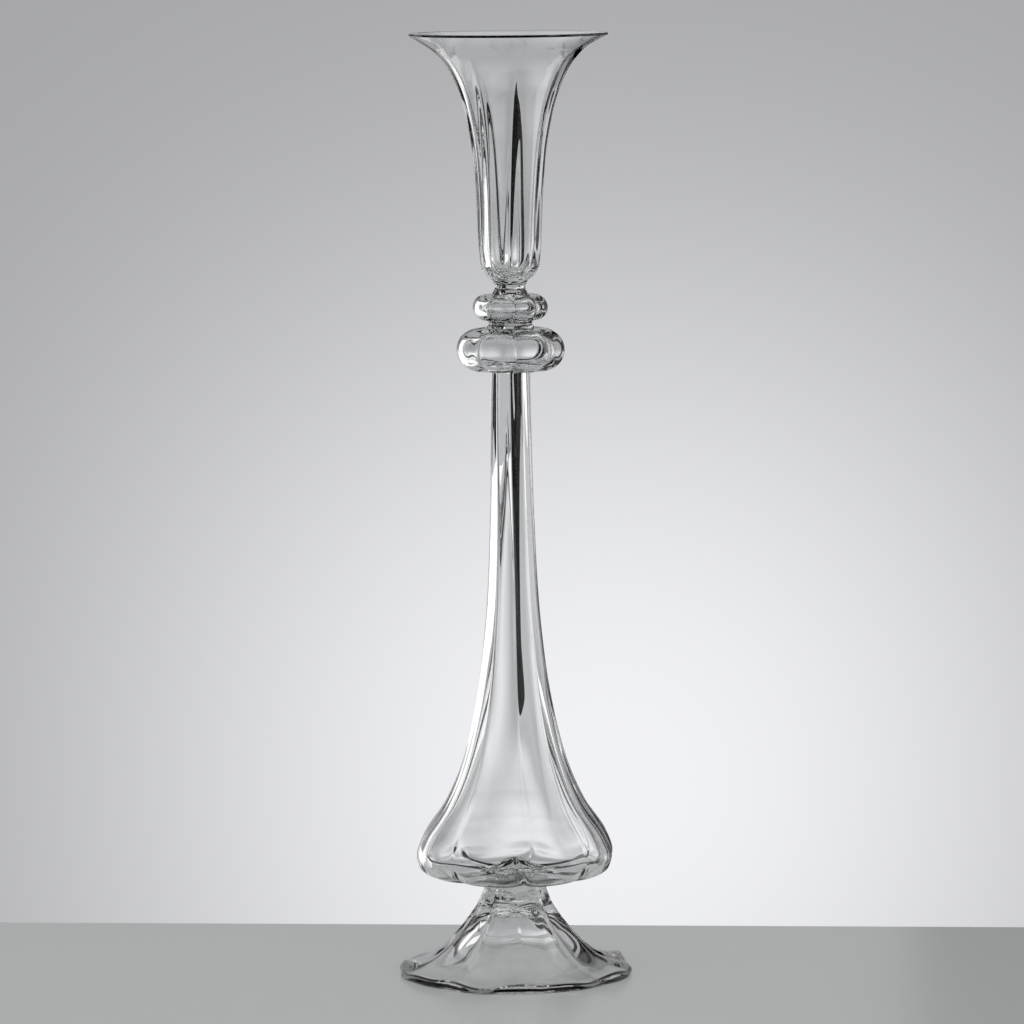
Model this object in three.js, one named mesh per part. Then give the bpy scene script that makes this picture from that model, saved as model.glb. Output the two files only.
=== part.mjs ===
// A tall hand-blown flower vase in clear glass, in millimetres, +Z up.
//
// The origin is the middle of the foot, on the surface that the vase stands on. The vase is eight
// pieces of glass, stacked on one axis: a hollow foot, a solid button, a hollow bell that draws out
// into a long stem, a lobed knop, a waist, a smaller lobed knop, a neck and a trumpet bowl. Every
// piece but the button, waist and neck was blown in the same ribbed mould, so each has the same
// number of grooves down its length, one of them just right of the front (-Y).
//
// A profile is a list of stations (radius, height, groove depth), run from the axis or the lower
// joint out, up the outside and back down the inside. Radii are those of the ribs between grooves.

import * as THREE from 'three';

// Mould.
const GROOVES = 8;
const FRONT_GROOVE = THREE.MathUtils.degToRad(5);
const SEGMENTS_PER_GROOVE = 6;
const SEGMENTS = GROOVES * SEGMENTS_PER_GROOVE;

// Heights of the joints, and the clearance between the two faces of each.
const HEIGHT = 610;
const FOOT_JOINT = 50;
const BELL_JOINT = 61.5;
const STEM_JOINT = 392.5;
const WAIST_LOWER_JOINT = 421.4;
const WAIST_UPPER_JOINT = 425.4;
const NECK_LOWER_JOINT = 443;
const NECK_UPPER_JOINT = 451.5;
const JOINT_GAP = 0.3;

// Radii of the joints.
const FOOT_JOINT_RADIUS = 22.6;
const BELL_JOINT_RADIUS = 19.4;
const STEM_RADIUS = 12.9;
const STEM_BORE = 9.6;
const WAIST_RADIUS = 15.5;
const NECK_RADIUS = 11.5;
const KNOP_BORE = 5;

// Foot.
const FOOT_RADIUS = 76.8;
const FOOT_EDGE = 2.6;
const FOOT_REST = 3.6;

// Bell, knops and bowl.
const BELL_RADIUS = 65.6;
const BELL_BELLY = 78;
const BOWL_RADIUS = 64;
const LIP_EDGE = 1.2;

// Knops. Each is a round tube bent into a ring: its section falls a little short of the joints, and
// stops a few degrees short of upright, where the flat of the joint takes over.
const LOWER_KNOP_RADIUS = 35.4;
const UPPER_KNOP_RADIUS = 24.6;
const KNOP_WALL = 3.4;
const KNOP_ROUNDNESS = 0.94;
const KNOP_SWEEP = 84;
const KNOP_INNER_GROOVE = 0.7;

// Tints, paler where the glass is thinner.
const BLOWN_GLASS = 0xe8eeec;
const KNOP_GLASS = 0xe6ecea;
const FOOT_GLASS = 0xe4ebe8;
const SPOOL_GLASS = 0xdde4e1;
const BUTTON_GLASS = 0xd5dcd8;

const glass = (name, color) => {
  return new THREE.MeshStandardMaterial({ name, color, roughness: 0.03, metalness: 0 });
};

const station = (radius, height, groove = 0) => new THREE.Vector3(radius, height, groove);

// Stations spaced along a smooth curve through the given ones.
function flow(stations, steps) {
  return new THREE.CatmullRomCurve3(stations).getPoints(steps);
}

// Stations round an arc about (radius, height), from one angle to another, in degrees from outward.
function arc(radius, height, size, from, to, steps, groove = 0) {
  const stations = [];
  for (let i = 0; i <= steps; i++) {
    const angle = THREE.MathUtils.degToRad(from + ((to - from) * i) / steps);
    stations.push(station(radius + size * Math.cos(angle), height + size * Math.sin(angle), groove));
  }
  return stations;
}

// How far down into a groove a direction lies: 1 at the crease, 0 on the rib.
function grooveShare(angle) {
  return 1 - Math.abs(Math.sin((GROOVES * angle) / 2));
}

// Turns a profile about the vase's axis and presses the mould's grooves into it.
function turn(profile) {
  const outline = profile.map((point) => new THREE.Vector2(point.x, point.y));
  const geometry = new THREE.LatheGeometry(outline, SEGMENTS);
  const position = geometry.getAttribute('position');
  for (let i = 0; i < position.count; i++) {
    const point = profile[i % profile.length];
    const angle = (Math.floor(i / profile.length) * 2 * Math.PI) / SEGMENTS;
    const radius = point.x - point.z * grooveShare(angle);
    const heading = angle + FRONT_GROOVE;
    position.setXYZ(i, radius * Math.sin(heading), point.y, radius * Math.cos(heading));
  }
  geometry.rotateX(Math.PI / 2);
  return geometry;
}

function piece(name, profile, color) {
  const mesh = new THREE.Mesh(turn(profile), glass(name, color));
  mesh.name = name;
  return mesh;
}

// Flared hollow foot: a thick wall that rolls under at a rounded edge and rests on a narrow ring.
function makeFoot() {
  const edge = FOOT_RADIUS - FOOT_EDGE;
  const inside = flow([
    station(0, 44.5),
    station(10, 43),
    station(19, 38, 0.8),
    station(29, 28.5, 1.4),
    station(41, 15.5, 1.6),
    station(56, 5.6, 1.6),
    station(edge - FOOT_REST, 0, 1.6),
  ], 9);
  const outside = flow([
    station(70.5, 5.1, 2.2),
    station(58.5, 9.8, 2.6),
    station(46.6, 18.8, 2.6),
    station(36.2, 30, 2.4),
    station(27.4, 41.8, 1.6),
    station(FOOT_JOINT_RADIUS, FOOT_JOINT - JOINT_GAP, 0.6),
  ], 9);
  return piece('foot', [
    ...inside,
    ...arc(edge, FOOT_EDGE, FOOT_EDGE, -90, 90, 4, 1.6),
    ...outside,
    station(0, FOOT_JOINT - JOINT_GAP),
  ], FOOT_GLASS);
}

// Solid gather that joins the foot to the floor of the bell.
function makeFootButton() {
  return piece('foot_button', [
    station(0, FOOT_JOINT),
    station(FOOT_JOINT_RADIUS, FOOT_JOINT, 0.6),
    station(20.4, 55.5, 0.3),
    station(BELL_JOINT_RADIUS, BELL_JOINT - JOINT_GAP),
    station(0, BELL_JOINT - JOINT_GAP),
  ], BUTTON_GLASS);
}

// Bell with a closed floor, drawn out above into the long hollow stem.
function makeStemBell() {
  const outside = flow([
    station(50, 64.6, 2),
    station(61, 69, 2.6),
    station(BELL_RADIUS, BELL_BELLY, 2.8),
    station(61.2, 92, 2.6),
    station(47, 113, 2.4),
    station(35.2, 140, 2),
    station(25.2, 180, 1.5),
    station(18.4, 230, 1.2),
    station(14.7, 296, 1),
    station(STEM_RADIUS, STEM_JOINT - JOINT_GAP, 0.9),
  ], 18);
  const inside = flow([
    station(STEM_BORE, STEM_JOINT - JOINT_GAP, 0.3),
    station(11, 296, 0.4),
    station(14.4, 230, 0.7),
    station(21, 180, 1),
    station(30.8, 140, 1.4),
    station(42.8, 111, 1.8),
    station(57, 90, 2.2),
    station(61.2, 78, 2.2),
    station(56, 70, 1.8),
    station(40, 67.2, 1),
    station(16, 67, 0.3),
    station(0, 70.5),
  ], 18);
  return piece('stem_bell', [
    station(0, BELL_JOINT),
    station(BELL_JOINT_RADIUS, BELL_JOINT),
    ...outside,
    ...inside,
  ], BLOWN_GLASS);
}

// Hollow lobed knop, open at both joints until the glass above and below closes it.
function makeKnop(name, radius, lower, upper, lowerRadius, upperRadius, groove) {
  const bottom = lower;
  const top = upper - JOINT_GAP;
  const middle = (bottom + top) / 2;
  const halfHeight = (top - bottom) / 2;
  const round = halfHeight * KNOP_ROUNDNESS;
  const hollow = round - KNOP_WALL;
  const centre = radius - round;
  const outside = arc(centre, middle, round, -KNOP_SWEEP, KNOP_SWEEP, 9, groove);
  const inside = arc(centre, middle, hollow, KNOP_SWEEP, -KNOP_SWEEP, 7, groove * KNOP_INNER_GROOVE);
  return piece(name, [
    station(KNOP_BORE, bottom),
    station(lowerRadius, bottom),
    ...outside,
    station(upperRadius, top),
    station(KNOP_BORE, top),
    station(KNOP_BORE, middle + hollow),
    ...inside,
    station(KNOP_BORE, middle - hollow),
    station(KNOP_BORE, bottom),
  ], KNOP_GLASS);
}

// Short solid spool between two blown pieces, drawn in at its middle.
function makeSpool(name, lower, upper, lowerRadius, upperRadius, waist) {
  const top = upper - JOINT_GAP;
  return piece(name, [
    station(0, lower),
    ...flow([
      station(lowerRadius, lower),
      station(waist, (lower + top) / 2),
      station(upperRadius, top),
    ], 4),
    station(0, top),
  ], SPOOL_GLASS);
}

// Trumpet bowl with a closed floor, flaring to a rounded lip.
function makeBowl() {
  const lip = BOWL_RADIUS - LIP_EDGE;
  const outside = flow([
    station(15, 454.6, 0.8),
    station(18.6, 460, 1.3),
    station(20, 470, 1.6),
    station(22, 511, 1.6),
    station(25.1, 543, 1.4),
    station(32.4, 572.7, 1),
    station(44, 593.2, 0.4),
    station(lip, 607.4),
  ], 14);
  const inside = flow([
    station(lip, 609.4),
    station(43.4, 597, 0.3),
    station(30.6, 577, 0.7),
    station(22.3, 545, 0.9),
    station(18.8, 511, 1),
    station(16.6, 470, 1),
    station(14, 460.5, 0.7),
    station(8, 456.4),
    station(0, 456.8),
  ], 14);
  return piece('trumpet_bowl', [
    station(0, NECK_UPPER_JOINT),
    station(NECK_RADIUS, NECK_UPPER_JOINT),
    ...outside,
    ...arc(lip, HEIGHT - LIP_EDGE, LIP_EDGE, -45, 135, 4),
    ...inside.slice(1),
  ], BLOWN_GLASS);
}

const lowerKnop = makeKnop(
  'lower_knop', LOWER_KNOP_RADIUS, STEM_JOINT, WAIST_LOWER_JOINT, STEM_RADIUS + 1, WAIST_RADIUS, 2,
);
const waist = makeSpool(
  'waist_merese', WAIST_LOWER_JOINT, WAIST_UPPER_JOINT, WAIST_RADIUS, WAIST_RADIUS - 1, 14,
);
const upperKnop = makeKnop(
  'upper_knop', UPPER_KNOP_RADIUS, WAIST_UPPER_JOINT, NECK_LOWER_JOINT, WAIST_RADIUS - 1, NECK_RADIUS, 1.5,
);
const neck = makeSpool(
  'neck_merese', NECK_LOWER_JOINT, NECK_UPPER_JOINT, NECK_RADIUS, NECK_RADIUS, 9.8,
);

const vase = new THREE.Group();
vase.add(makeFoot(), makeFootButton(), makeStemBell(), lowerKnop, waist, upperKnop, neck, makeBowl());

export default vase;
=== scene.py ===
# A tall hand-blown flower vase in clear glass, on a grey table before a plain, softly lit backdrop.
#
# Each piece of the vase is one closed solid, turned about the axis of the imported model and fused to
# its neighbours: where two pieces meet, both faces are see-through, so light passes as through one
# piece of glass. Lengths in profiles are millimetres; everything else is metres and degrees.

import math

import bpy
import numpy as np
from mathutils import Matrix, Vector


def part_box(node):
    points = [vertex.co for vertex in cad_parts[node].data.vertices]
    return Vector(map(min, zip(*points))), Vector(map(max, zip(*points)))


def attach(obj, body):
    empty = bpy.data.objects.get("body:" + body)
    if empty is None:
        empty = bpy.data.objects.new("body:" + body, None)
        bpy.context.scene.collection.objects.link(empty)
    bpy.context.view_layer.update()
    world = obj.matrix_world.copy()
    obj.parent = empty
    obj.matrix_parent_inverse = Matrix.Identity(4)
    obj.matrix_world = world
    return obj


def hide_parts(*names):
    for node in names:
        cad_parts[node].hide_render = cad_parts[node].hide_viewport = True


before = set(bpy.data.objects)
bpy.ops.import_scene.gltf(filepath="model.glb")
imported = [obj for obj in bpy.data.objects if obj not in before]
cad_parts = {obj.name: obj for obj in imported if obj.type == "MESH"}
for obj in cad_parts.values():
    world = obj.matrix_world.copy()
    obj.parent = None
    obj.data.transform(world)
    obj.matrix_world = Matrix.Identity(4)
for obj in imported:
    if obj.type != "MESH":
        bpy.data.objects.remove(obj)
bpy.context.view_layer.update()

MM = 0.001

# Mould: grooves pressed down the length of every blown piece. The front one stands so many degrees
# to the right of -Y. A bowl's or stem's back groove has strayed so many degrees from its even place.
GROOVES = 8
FRONT_GROOVE = 5
CREASE_ROUNDING = 0.1
CREASE_SHARPNESS = 3
KNOP_CREASE = 0.9
FOOT_CREASE = 0.4
BOWL_DRIFT = 26
STEM_DRIFT = -17
UNEVENNESS = 0.004
FOOT_RIPPLE = 0.25

# Mesh: faces round a piece, and the longest step along a profile, coarse and fine.
COLUMNS = 360
STEP = 1.6
FINE_STEP = 0.5
SHARP_EDGE = 40

# Radii of the glass at the joints, and how far past them a face still counts as part of the joint.
FOOT_TOP_RADIUS = 22.6
BUTTON_TOP_RADIUS = 19.4
STEM_TOP_RADIUS = 12.9
WAIST_RADIUS = 15.5
WAIST_TOP_RADIUS = 14.5
NECK_RADIUS = 11.5
JOINT_MARGIN = 0.5

# Walls, bores and edges.
STEM_WALL = 3.3
BOWL_WALL = 3.4
KNOP_WALL = 3.4
KNOP_BORE = 5
LIP_EDGE = 1
FOOT_EDGE = 2
FOOT_REST = 3.6

# A knop is a ring of round section, a little short of its joints, that stops so many degrees short of
# upright. Its grooves are shallower inside.
KNOP_ROUNDNESS = 0.94
KNOP_SWEEP = 84
KNOP_INNER_GROOVE = 0.5

# Bubbles: faces along and round each, and how many are in the button.
SEED_RINGS = 7
SEED_SIDES = 14
BUTTON_SEEDS = 40
GOLDEN_ANGLE = 137.5

IOR = 1.5
LIGHT_BOUNCES = 32


def node_heights(node):
    """Lowest and highest point of a CAD node, in millimetres."""
    low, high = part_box(node)
    return low[2] / MM, high[2] / MM


def node_radius(node):
    """Widest radius of a CAD node, in millimetres."""
    return max(math.hypot(v.co.x, v.co.y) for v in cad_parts[node].data.vertices) / MM


FOOT_JOINT = node_heights("foot_button")[0]
BELL_JOINT = node_heights("stem_bell")[0]
STEM_JOINT = node_heights("lower_knop")[0]
WAIST_LOWER_JOINT = node_heights("waist_merese")[0]
WAIST_UPPER_JOINT = node_heights("upper_knop")[0]
NECK_LOWER_JOINT = node_heights("neck_merese")[0]
NECK_UPPER_JOINT, HEIGHT = node_heights("trumpet_bowl")


# ---------------------------------------------------------------- materials

def new_material(name):
    material = bpy.data.materials.new(name)
    material.use_nodes = True
    return material, material.node_tree


def clear_glass(name, cord_scale, cord_strength, frost=0.0):
    """Clear glass, with the faint cords and the slight unevenness of tint that blowing leaves in it."""
    material, tree = new_material(name)
    shader = tree.nodes["Principled BSDF"]
    shader.inputs["IOR"].default_value = IOR
    shader.inputs["Transmission Weight"].default_value = 1
    place = tree.nodes.new("ShaderNodeTexCoord")
    stretch = tree.nodes.new("ShaderNodeMapping")
    stretch.inputs["Scale"].default_value = (1, 1, 0.2)
    tree.links.new(place.outputs["Object"], stretch.inputs["Vector"])
    cords = tree.nodes.new("ShaderNodeTexNoise")
    cords.inputs["Scale"].default_value = cord_scale
    cords.inputs["Detail"].default_value = 1
    tree.links.new(stretch.outputs["Vector"], cords.inputs["Vector"])
    tint = tree.nodes.new("ShaderNodeValToRGB")
    tint.color_ramp.elements[0].color = (0.984, 0.992, 0.990, 1)
    tint.color_ramp.elements[1].color = (0.996, 0.997, 0.996, 1)
    tree.links.new(cords.outputs["Fac"], tint.inputs["Fac"])
    tree.links.new(tint.outputs["Color"], shader.inputs["Base Color"])
    haze = tree.nodes.new("ShaderNodeMapRange")
    haze.inputs["To Min"].default_value = frost
    haze.inputs["To Max"].default_value = frost + 0.012
    tree.links.new(cords.outputs["Fac"], haze.inputs["Value"])
    tree.links.new(haze.outputs["Result"], shader.inputs["Roughness"])
    bump = tree.nodes.new("ShaderNodeBump")
    bump.inputs["Strength"].default_value = cord_strength
    bump.inputs["Distance"].default_value = 0.0004
    tree.links.new(cords.outputs["Fac"], bump.inputs["Height"])
    tree.links.new(bump.outputs["Normal"], shader.inputs["Normal"])
    return material


def fused_joint():
    """The face along which two pieces were joined hot: glass meets glass, so nothing shows."""
    material, tree = new_material("fused_joint")
    tree.nodes.clear()
    through = tree.nodes.new("ShaderNodeBsdfTransparent")
    output = tree.nodes.new("ShaderNodeOutputMaterial")
    tree.links.new(through.outputs["BSDF"], output.inputs["Surface"])
    return material


def glow(name, brightness):
    """A plain light-giving surface. At brightness 0 it is a black flag."""
    material, tree = new_material(name)
    tree.nodes.clear()
    emission = tree.nodes.new("ShaderNodeEmission")
    emission.inputs["Strength"].default_value = brightness
    output = tree.nodes.new("ShaderNodeOutputMaterial")
    tree.links.new(emission.outputs["Emission"], output.inputs["Surface"])
    return material


BLOWN_GLASS = clear_glass("blown_glass", 30, 0.12)
SOLID_GLASS = clear_glass("solid_glass", 60, 0.1)
SEEDED_GLASS = clear_glass("seeded_glass", 260, 0.8, 0.1)
FUSED = fused_joint()


# ---------------------------------------------------------------- shapes

def flow(stations, press=1.0, radial=False, step=STEP):
    """A smooth curve through stations (radius, height, groove depth), as a centripetal spline. It
    gives (radius, height, inward and upward push of a groove). A groove presses into an outer face
    with press above 0, run upwards, and out of an inner face with press below 0, run downwards."""
    points = np.array(stations, float)
    points = np.vstack([2 * points[0] - points[1], points, 2 * points[-1] - points[-2]])
    curve = []
    for a, b, c, d in zip(points, points[1:], points[2:], points[3:]):
        knots = np.cumsum([0] + [math.dist(p[:2], q[:2]) ** 0.5 for p, q in ((a, b), (b, c), (c, d))])
        count = max(3, math.ceil(math.dist(b[:2], c[:2]) / step))
        t = np.linspace(knots[1], knots[2], count, endpoint=False)[:, None]
        ab, bc, cd = (
            ((t1 - t) * p + (t - t0) * q) / (t1 - t0)
            for p, q, t0, t1 in ((a, b, *knots[:2]), (b, c, *knots[1:3]), (c, d, *knots[2:]))
        )
        abc = ((knots[2] - t) * ab + (t - knots[0]) * bc) / (knots[2] - knots[0])
        bcd = ((knots[3] - t) * bc + (t - knots[1]) * cd) / (knots[3] - knots[1])
        curve.append(((knots[2] - t) * abc + (t - knots[1]) * bcd) / (knots[2] - knots[1]))
    curve = np.vstack([*curve, points[-2][None]])
    along = np.gradient(curve[:, :2], axis=0)
    along /= np.linalg.norm(along, axis=1)[:, None]
    depth = curve[:, 2] * press
    if radial:
        return np.stack([curve[:, 0], curve[:, 1], -abs(depth), 0 * depth], -1)
    return np.stack([curve[:, 0], curve[:, 1], -along[:, 1] * depth, along[:, 0] * depth], -1)


def arc(radius, height, size, start, end, groove=0, steps=12):
    """Stations round an arc about (radius, height), from one angle to another, outward being 0, with
    grooves pressed in towards its centre."""
    angles = np.radians(np.linspace(start, end, steps + 1))
    across, up = np.cos(angles), np.sin(angles)
    return np.stack([radius + size * across, height + size * up, -groove * across, -groove * up], -1)


def corner(radius, height):
    """A station that no groove reaches."""
    return radius, height, 0, 0


def groove_share(angles, crease):
    """How far down into a groove each direction lies: 1 at its bottom, 0 on the rib. A groove is a
    sharp crease, a soft wave, or a mixture of both."""
    lift = np.sqrt(np.sin(GROOVES * angles / 2) ** 2 + CREASE_ROUNDING ** 2)
    top = math.sqrt(1 + CREASE_ROUNDING ** 2)
    sharp = ((top - lift) / (top - CREASE_ROUNDING)) ** CREASE_SHARPNESS
    soft = (1 + np.cos(GROOVES * angles)) / 2
    return crease * sharp + (1 - crease) * soft


def hand(headings, heights):
    """How far from round the glassmaker left the vase there, as a share of the radius."""
    return UNEVENNESS * (
        np.sin(2 * headings + heights / 70 + 0.8)
        + 0.6 * np.sin(3 * headings - heights / 47 + 2.1)
        + 0.35 * np.sin(5 * headings + heights / 31)
    )


def turn(name, profile, material, crease=1, front=FRONT_GROOVE, drift=0, closed=False, ripple=0, seeds=()):
    """Turns a profile about the axis and presses the grooves into it. A profile starts and ends on
    the axis, or is closed on itself. crease is how sharp the grooves are, and front is how many
    degrees the front groove stands to the right of -Y: each is a number, or says so for a height.
    drift is how many degrees the groove at the back has strayed from its even place. ripple is how
    uneven the widest edge is, as a share of its height. seeds are the bubbles caught in the glass."""
    profile = np.array(profile, float)
    moved = np.linalg.norm(np.diff(profile[:, :2], axis=0), axis=1) > 1e-4
    profile = profile[np.r_[True, moved]]
    rings = profile[:-1] if closed else profile[1:-1]
    angles = np.arange(COLUMNS) * 2 * math.pi / COLUMNS
    level = rings[:, 1][:, None]
    strayed = angles + math.radians(drift) * (1 - np.cos(angles)) / 2
    headings = strayed[None] + np.radians(front(level) if callable(front) else front)
    share = groove_share(angles[None], crease(level) if callable(crease) else crease)
    heights = level + rings[:, 3][:, None] * share
    radii = (rings[:, 0][:, None] + rings[:, 2][:, None] * share) * (1 + hand(headings, level))
    if ripple:
        # The sixth power keeps the unevenness to the outermost glass.
        uneven = ripple * (radii / radii.max()) ** 6
        heights = heights * (1 + uneven * (np.sin(7 * headings + 0.6) + 0.7 * np.sin(12 * headings + 1.9)))
        radii = radii * (1 + 0.05 * uneven * (np.sin(5 * headings + 2.6) + 0.6 * np.sin(13 * headings)))
    places = np.stack([radii * np.sin(headings), -radii * np.cos(headings), heights], -1).reshape(-1, 3)
    count = len(rings)
    here = np.arange(count if closed else count - 1)[:, None]
    above = (here + 1) % count
    column = np.arange(COLUMNS)[None]
    beside = (column + 1) % COLUMNS
    corners = [
        here * COLUMNS + column,
        here * COLUMNS + beside,
        above * COLUMNS + beside,
        above * COLUMNS + column,
    ]
    faces = np.stack(corners, -1).reshape(-1, 4).tolist()
    places = places.tolist()
    if not closed:
        for end, ring, order in ((profile[0], 0, 1), (profile[-1], count - 1, -1)):
            places.append((0, 0, end[1]))
            centre = len(places) - 1
            for i in range(COLUMNS):
                pair = [ring * COLUMNS + (i + 1) % COLUMNS, ring * COLUMNS + i]
                faces.append([centre, *pair[::order]])
    for seed in seeds:
        add_seed(places, faces, *seed)
    mesh = bpy.data.meshes.new(name)
    mesh.from_pydata([[c * MM for c in place] for place in places], [], faces)
    return finish_piece(name, mesh, material)


def add_seed(places, faces, heading, radius, height, along, across):
    """Adds a bubble whose faces look inwards. Its half sizes are along, round the vase, and across."""
    heading = math.radians(heading)
    out = np.array([math.sin(heading), -math.cos(heading), 0])
    tangent = np.array([math.cos(heading), math.sin(heading), 0])
    up = np.array([0, 0, 1])
    middle = radius * out + height * up
    start = len(places)
    for i in range(SEED_RINGS):
        tilt = math.pi * (i + 1) / (SEED_RINGS + 1)
        for j in range(SEED_SIDES):
            turned = 2 * math.pi * j / SEED_SIDES
            outward = out * math.cos(turned) + up * math.sin(turned)
            place = middle + tangent * along * math.cos(tilt) + outward * across * math.sin(tilt)
            places.append(place.tolist())

    def pair(ring, j):
        first = start + ring * SEED_SIDES
        return [first + j, first + (j + 1) % SEED_SIDES]

    for i in range(SEED_RINGS - 1):
        for j in range(SEED_SIDES):
            a, b = pair(i, j)
            c, d = pair(i + 1, j)
            faces.append([a, c, d, b])
    for end, ring, order in ((along, 0, 1), (-along, SEED_RINGS - 1, -1)):
        places.append((middle + tangent * end).tolist())
        for j in range(SEED_SIDES):
            faces.append([len(places) - 1, *pair(ring, j)[::order]])


def finish_piece(name, mesh, material):
    mesh.update()
    mesh.polygons.foreach_set("use_smooth", [True] * len(mesh.polygons))
    mesh.set_sharp_from_angle(angle=math.radians(SHARP_EDGE))
    mesh.materials.append(material)
    mesh.materials.append(FUSED)
    piece = bpy.data.objects.new(name, mesh)
    bpy.context.collection.objects.link(piece)
    piece.visible_shadow = False
    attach(piece, "root")
    return piece


def fuse(piece, height, inner, outer):
    """Marks the flat ring of a piece at that height, between two radii, as fused to its neighbour."""
    for face in piece.data.polygons:
        flat = all(abs(piece.data.vertices[v].co.z / MM - height) < 0.01 for v in face.vertices)
        if flat and inner < math.hypot(*face.center[:2]) / MM < outer:
            face.material_index = 1


# ---------------------------------------------------------------- the vase

def make_bowl():
    """Trumpet with a closed floor, flaring to a rounded lip."""
    bottom = NECK_UPPER_JOINT
    lip = node_radius("trumpet_bowl") - LIP_EDGE
    outside = flow([
        (NECK_RADIUS, bottom, 0.3),
        (15, bottom + 2.7, 0.8),
        (18.6, 460, 1.35),
        (20, 470, 1.55),
        (22, 511, 1.55),
        (25.1, 543, 1.5),
        (32.4, 572.7, 1.2),
        (44, 594.2, 0.5),
        (lip + LIP_EDGE * 0.77, HEIGHT - LIP_EDGE * 1.64, 0),
    ])
    inside = flow([
        (lip - LIP_EDGE * 0.47, HEIGHT - LIP_EDGE * 0.12, 0),
        (43.4, 596.6, 0.2),
        (31.3, 576.5, 0.3),
        (22.5, 545, 0.4),
        (22 - BOWL_WALL + 0.1, 511, 0.4),
        (20 - BOWL_WALL, 470, 0.5),
        (14, 460.5, 0.8),
        (8, 456.6, 0.8),
        (3, 456.8, 0.4),
        (0, 457.2, 0),
    ], -1)
    edge = arc(lip, HEIGHT - LIP_EDGE, LIP_EDGE, -40, 118)
    profile = [corner(0, bottom), *outside, *edge, *inside]
    seeds = [(-63, 48.8, 599.3, 1, 1), (33, 51.4, 601.2, 5, 0.7)]
    bowl = turn("bowl_glass", profile, BLOWN_GLASS, front=bowl_front, drift=BOWL_DRIFT, seeds=seeds)
    fuse(bowl, bottom, 0, NECK_RADIUS + JOINT_MARGIN)
    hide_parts("trumpet_bowl")


def make_stem_bell():
    """Bell with a floor that rises in the middle, drawn out above into the long hollow stem."""
    bottom = BELL_JOINT
    widest = node_radius("stem_bell")
    outside = flow([
        (BUTTON_TOP_RADIUS, bottom, 0),
        (34, 62.6, 1),
        (50, 64.6, 1.8),
        (61, 69, 2.2),
        (widest, 78, 2.4),
        (61.2, 92, 2.4),
        (47, 113, 2.4),
        (35.2, 140, 2.4),
        (25.2, 180, 2.3),
        (18.4, 230, 1.7),
        (14.7, 296, 1.5),
        (STEM_TOP_RADIUS, STEM_JOINT, 1.3),
    ])
    inside = flow([
        (STEM_TOP_RADIUS - STEM_WALL, STEM_JOINT, 0.2),
        (14.7 - STEM_WALL, 296, 0.2),
        (18.4 - STEM_WALL - 0.4, 230, 0.4),
        (25.2 - STEM_WALL - 0.8, 180, 1),
        (35.2 - STEM_WALL - 1, 140, 1.8),
        (42.8, 111, 2.2),
        (57, 90, 2.2),
        (61.2, 78, 2.4),
        (56, 70, 2.6),
        (40, 67.2, 2),
        (20, 66.8, 2.4),
        (12, 69.4, 2.4),
        (5, 74.5, 1.6),
        (0, 77, 0),
    ], -1)
    profile = [corner(0, bottom), *outside, *inside]
    bell = turn("stem_bell_glass", profile, BLOWN_GLASS, stem_crease, stem_front, STEM_DRIFT)
    fuse(bell, bottom, 0, BUTTON_TOP_RADIUS + JOINT_MARGIN)
    fuse(bell, STEM_JOINT, 0, STEM_TOP_RADIUS + JOINT_MARGIN)
    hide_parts("stem_bell")


def stem_crease(heights):
    """The grooves are creases in the bell's floor, soft waves in the bell and creases in the stem."""
    return np.clip((heights - 110) / 155, 0.15, 0.7) + 0.8 * np.clip((74 - heights) / 4, 0, 1)


def stem_front(heights):
    """The grooves run straight up the bell and turn a little to the left up the stem."""
    share = np.clip((heights - 230) / (STEM_JOINT - 230), 0, 1)
    return 6 - 9 * share ** 2 * (3 - 2 * share)


def bowl_front(heights):
    """The grooves turn a little to the right up the bowl."""
    return -2 + 8 * (heights - 465) / 105


def make_knop(node, name, bottom, top, lower_radius, upper_radius, groove, lower_joint, upper_joint):
    """Hollow lobed knop. Each joint is the pair of radii between which it is fused."""
    middle = (bottom + top) / 2
    rounding = (top - bottom) / 2 * KNOP_ROUNDNESS
    hollow = rounding - KNOP_WALL
    centre = node_radius(node) - rounding
    knop = turn(name, [
        corner(KNOP_BORE, bottom),
        corner(lower_joint[0], bottom),
        corner(lower_radius, bottom),
        *arc(centre, middle, rounding, -KNOP_SWEEP, KNOP_SWEEP, groove, 48),
        corner(upper_radius, top),
        corner(KNOP_BORE, top),
        corner(KNOP_BORE, middle + hollow),
        *arc(centre, middle, hollow, KNOP_SWEEP, -KNOP_SWEEP, groove * KNOP_INNER_GROOVE, 40),
        corner(KNOP_BORE, middle - hollow),
        corner(KNOP_BORE, bottom),
    ], BLOWN_GLASS, KNOP_CREASE, closed=True)
    fuse(knop, bottom, *lower_joint)
    fuse(knop, top, *upper_joint)
    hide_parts(node)


def make_spool(node, name, bottom, top, lower_radius, upper_radius, waist, lower_bore, upper_bore):
    """Short solid spool, drawn in at its middle. It closes the bore of a knop below or above it."""
    spool = turn(name, [
        corner(0, bottom),
        corner(lower_bore, bottom),
        *flow([
            (lower_radius, bottom, 0),
            (waist, (bottom + top) / 2, 0),
            (upper_radius, top, 0),
        ], step=FINE_STEP),
        corner(upper_bore, top),
        corner(0, top),
    ], SOLID_GLASS)
    fuse(spool, bottom, lower_bore, lower_radius + JOINT_MARGIN)
    fuse(spool, top, upper_bore, upper_radius + JOINT_MARGIN)
    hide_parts(node)


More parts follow.
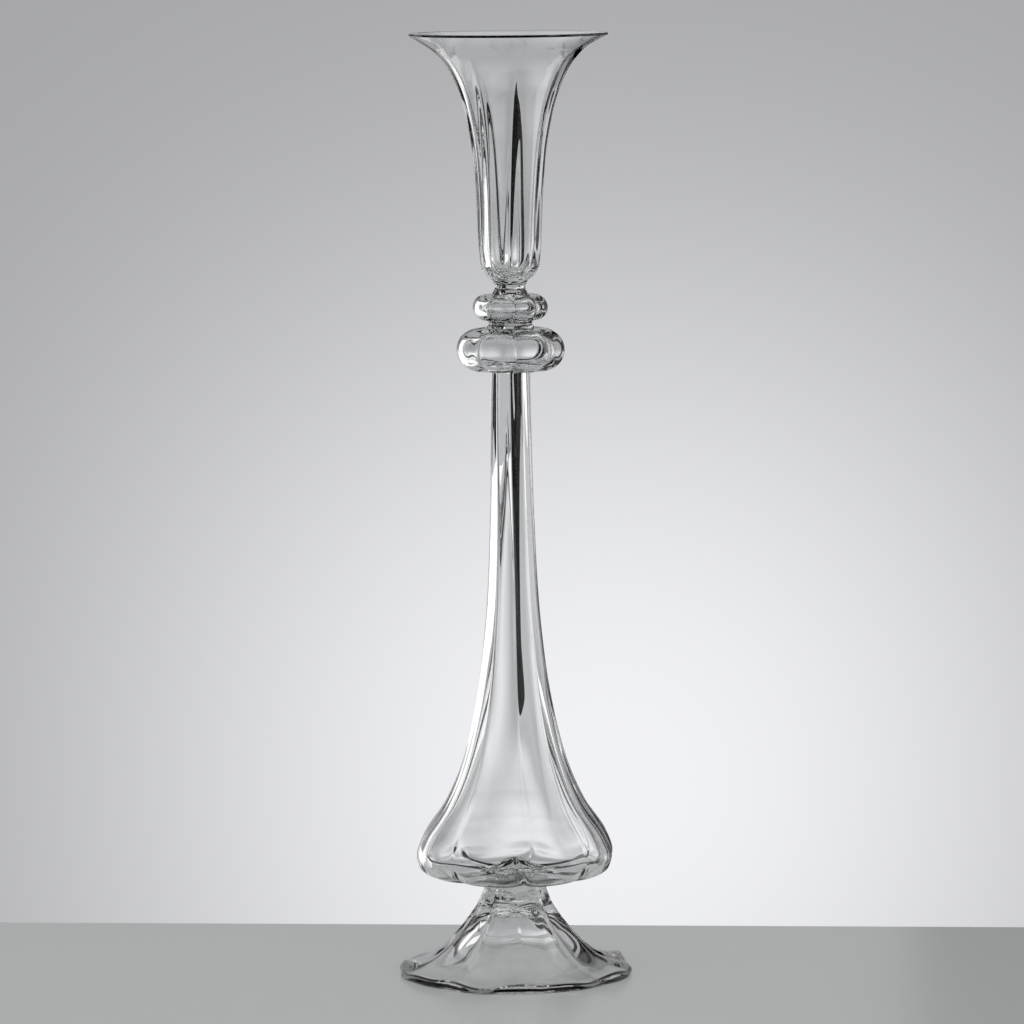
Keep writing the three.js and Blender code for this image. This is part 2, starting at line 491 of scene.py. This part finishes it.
def make_button():
    """Solid gather full of seeds, that joins the foot to the floor of the bell."""
    seeds = []
    for i in range(BUTTON_SEEDS):
        radius = 17.5 * math.sqrt((i + 0.5) / BUTTON_SEEDS)
        height = 51.5 + 8.5 * (0.618 * i % 1)
        size = 0.4 + 0.5 * (0.382 * i % 1)
        seeds.append((GOLDEN_ANGLE * i, radius, height, size, size))
    button = turn("foot_button_glass", [
        corner(0, FOOT_JOINT),
        *flow([
            (FOOT_TOP_RADIUS, FOOT_JOINT, 0.6),
            (20.4, 55.5, 0.3),
            (BUTTON_TOP_RADIUS, BELL_JOINT, 0),
        ], radial=True, step=FINE_STEP),
        corner(0, BELL_JOINT),
    ], SEEDED_GLASS, seeds=seeds)
    fuse(button, FOOT_JOINT, 0, FOOT_TOP_RADIUS + JOINT_MARGIN)
    fuse(button, BELL_JOINT, 0, BUTTON_TOP_RADIUS + JOINT_MARGIN)
    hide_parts("foot_button")


def make_foot():
    """Flared hollow foot, rolling under at a rounded edge to rest on a narrow ring."""
    edge = node_radius("foot") - FOOT_EDGE
    inside = flow([
        (0, 44.5, 0),
        (10, 43, 0),
        (19, 38, 0.8),
        (29, 28.5, 1.4),
        (41, 15.5, 1.8),
        (56, 5.6, 2),
        (edge - FOOT_REST, 0, 2),
    ], radial=True)
    outside = flow([
        (edge, 5.2, 2),
        (70.5, 5.6, 2.4),
        (58.5, 9.8, 3),
        (46.6, 18.8, 3),
        (36.2, 30, 2.8),
        (27.4, 41.8, 2),
        (FOOT_TOP_RADIUS, FOOT_JOINT, 0.6),
    ], radial=True)
    rim = arc(edge, FOOT_EDGE, FOOT_EDGE, -90, 90)
    rim[:, 2] = -2
    profile = [*inside, *rim, *outside, corner(0, FOOT_JOINT)]
    foot = turn("foot_glass", profile, BLOWN_GLASS, FOOT_CREASE, ripple=FOOT_RIPPLE)
    fuse(foot, FOOT_JOINT, 0, FOOT_TOP_RADIUS + JOINT_MARGIN)
    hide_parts("foot")


make_foot()
make_button()
make_stem_bell()
make_knop(
    "lower_knop", "lower_knop_glass", STEM_JOINT, WAIST_LOWER_JOINT, STEM_TOP_RADIUS + 1, WAIST_RADIUS,
    2.4, (STEM_TOP_RADIUS - STEM_WALL, STEM_TOP_RADIUS), (KNOP_BORE, WAIST_RADIUS),
)
make_spool(
    "waist_merese", "waist_glass", WAIST_LOWER_JOINT, WAIST_UPPER_JOINT, WAIST_RADIUS, WAIST_TOP_RADIUS,
    14, KNOP_BORE, KNOP_BORE,
)
make_knop(
    "upper_knop", "upper_knop_glass", WAIST_UPPER_JOINT, NECK_LOWER_JOINT, WAIST_TOP_RADIUS, NECK_RADIUS,
    1.9, (KNOP_BORE, WAIST_TOP_RADIUS), (KNOP_BORE, NECK_RADIUS),
)
make_spool(
    "neck_merese", "neck_glass", NECK_LOWER_JOINT, NECK_UPPER_JOINT, NECK_RADIUS, NECK_RADIUS,
    9.8, KNOP_BORE, 0,
)
make_bowl()


# ---------------------------------------------------------------- table, backdrop and light

TABLE_HALF_WIDTH = 0.8
TABLE_FRONT = -0.6
TABLE_BACK = 0.162
TABLE_BACK_SLANT = math.tan(math.radians(4))
STUDIO_RADIUS = 2.2
STUDIO_FLOOR, STUDIO_TOP = -1.5, 2.6

# Low enough that only the bell and the foot see the panel up to it, and the rest sees what is above.
BELL_LEVEL = 0.12


def stage_face(name, corners, material):
    mesh = bpy.data.meshes.new(name)
    mesh.from_pydata(corners, [], [(0, 1, 2, 3)])
    mesh.materials.append(material)
    face = bpy.data.objects.new(name, mesh)
    bpy.context.collection.objects.link(face)
    return face


def make_table():
    material, tree = new_material("table_top")
    shader = tree.nodes["Principled BSDF"]
    shader.inputs["Base Color"].default_value = (0.505, 0.517, 0.511, 1)
    shader.inputs["Roughness"].default_value = 0.22
    shader.inputs["Specular IOR Level"].default_value = 0.2
    left, right = -TABLE_HALF_WIDTH, TABLE_HALF_WIDTH
    back = [TABLE_BACK - x * TABLE_BACK_SLANT for x in (left, right)]
    stage_face("table", [
        (left, TABLE_FRONT, 0),
        (right, TABLE_FRONT, 0),
        (right, back[1], 0),
        (left, back[0], 0),
    ], material)


def make_panel(name, start, end, brightness, low=STUDIO_FLOOR, high=STUDIO_TOP):
    """An upright panel between two directions, measured from straight behind the vase towards +X. It
    shows only in the glass. At brightness 0 it is a black flag."""
    ends = [(STUDIO_RADIUS * math.sin(math.radians(a)), STUDIO_RADIUS * math.cos(math.radians(a)))
            for a in (start, end)]
    corners = [(*ends[0], low), (*ends[1], low), (*ends[1], high), (*ends[0], high)]
    panel = stage_face(name, corners, glow(name, brightness))
    hide_outside_glass(panel)


def make_ceiling(brightness):
    """A level panel over the whole studio."""
    r = STUDIO_RADIUS
    corners = [(-r, -r, STUDIO_TOP), (r, -r, STUDIO_TOP), (r, r, STUDIO_TOP), (-r, r, STUDIO_TOP)]
    hide_outside_glass(stage_face("ceiling", corners, glow("ceiling", brightness)))


def hide_outside_glass(panel):
    panel.visible_camera = False
    panel.visible_diffuse = False
    panel.visible_shadow = False


def make_backdrop():
    """Grey surroundings with a round pool of light behind the foot of the vase. Its brightness is
    base + pool * exp(-|azimuth off|^n - |elevation off|^n), with azimuth from straight behind."""
    base, pool, falloff = 0.378, 0.517, 2.13
    pool_azimuth, pool_elevation = 1.05, -9.3
    pool_width, pool_height = 5.55, 5.38
    around, around_from, around_to = 0.6, 6, 14
    world = bpy.data.worlds.new("studio")
    bpy.context.scene.world = world
    world.use_nodes = True
    tree = world.node_tree
    tree.nodes.clear()

    def calculate(operation, *values):
        node = tree.nodes.new("ShaderNodeMath")
        node.operation = operation
        for socket, value in zip(node.inputs, values):
            if isinstance(value, (int, float)):
                socket.default_value = value
            else:
                tree.links.new(value, socket)
        return node.outputs[0]

    def share_off(angle, centre, size):
        off = calculate("DIVIDE", calculate("SUBTRACT", angle, math.radians(centre)), math.radians(size))
        return calculate("POWER", calculate("ABSOLUTE", off), falloff)

    direction = tree.nodes.new("ShaderNodeTexCoord")
    axes = tree.nodes.new("ShaderNodeSeparateXYZ")
    tree.links.new(direction.outputs["Generated"], axes.inputs[0])
    azimuth = calculate("ARCTAN2", axes.outputs["X"], axes.outputs["Y"])
    elevation = calculate("ARCSINE", axes.outputs["Z"])
    off = calculate("ADD", share_off(azimuth, pool_azimuth, pool_width),
                    share_off(elevation, pool_elevation, pool_height))
    lit = calculate("EXPONENT", calculate("MULTIPLY", off, -1))
    sides = tree.nodes.new("ShaderNodeMapRange")
    sides.interpolation_type = "SMOOTHSTEP"
    sides.inputs["From Min"].default_value = math.radians(around_from)
    sides.inputs["From Max"].default_value = math.radians(around_to)
    sides.inputs["To Max"].default_value = around
    tree.links.new(calculate("ABSOLUTE", azimuth), sides.inputs["Value"])
    off_level = share_off(elevation, pool_elevation, pool_height)
    level = calculate("EXPONENT", calculate("MULTIPLY", off_level, -1))
    lit = calculate("MULTIPLY_ADD", level, sides.outputs["Result"], lit)
    background = tree.nodes.new("ShaderNodeBackground")
    background.inputs["Color"].default_value = (0.988, 0.993, 1.022, 1)
    tree.links.new(calculate("MULTIPLY_ADD", lit, pool, base), background.inputs["Strength"])
    output = tree.nodes.new("ShaderNodeOutputWorld")
    tree.links.new(background.outputs["Background"], output.inputs["Surface"])


def make_overhead_light():
    lamp = bpy.data.lights.new("overhead", "AREA")
    lamp.size = 2
    lamp.energy = 28
    light = bpy.data.objects.new("overhead", lamp)
    light.location = (0, -0.2, 2.2)
    light.visible_camera = False
    light.visible_glossy = False
    light.visible_transmission = False
    bpy.context.collection.objects.link(light)


def make_camera():
    """A long lens a little above the rim, looking down on the middle of the vase."""
    lens = bpy.data.cameras.new("camera")
    lens.sensor_width = 36
    lens.lens = 191.8
    lens.clip_end = 50
    camera = bpy.data.objects.new("camera", lens)
    bpy.context.collection.objects.link(camera)
    camera.location = (0, -3.5, 0.70)
    aim = Vector((0, 0, 0.3016)) - camera.location
    roll = Matrix.Rotation(math.radians(-0.49), 4, "Z").to_quaternion()
    camera.rotation_mode = "QUATERNION"
    camera.rotation_quaternion = aim.to_track_quat("-Z", "Y") @ roll
    bpy.context.scene.camera = camera


make_camera()
make_table()
make_backdrop()
make_overhead_light()
make_panel("far_left_strip", -74, -64, 0)
make_panel("left_softbox", -58, -38, 1.2)
make_panel("left_strip", -33, -27, 0, BELL_LEVEL)
make_panel("low_left_softbox", -38, -18, 1.2, -0.8, BELL_LEVEL)
make_panel("right_flag", 11, 24, 0)
make_panel("right_strip", 29, 36, 0)
make_panel("right_softbox", 60, 100, 1.2)
make_panel("far_right_flag", 100, 122, 0)
make_panel("window", 122, 148, 0.3)
make_panel("near_flag", 148, 250, 0.05)
make_ceiling(0.6)

scene = bpy.context.scene
scene.view_settings.view_transform = "Standard"
scene.cycles.max_bounces = LIGHT_BOUNCES
scene.cycles.transmission_bounces = LIGHT_BOUNCES
scene.cycles.transparent_max_bounces = LIGHT_BOUNCES
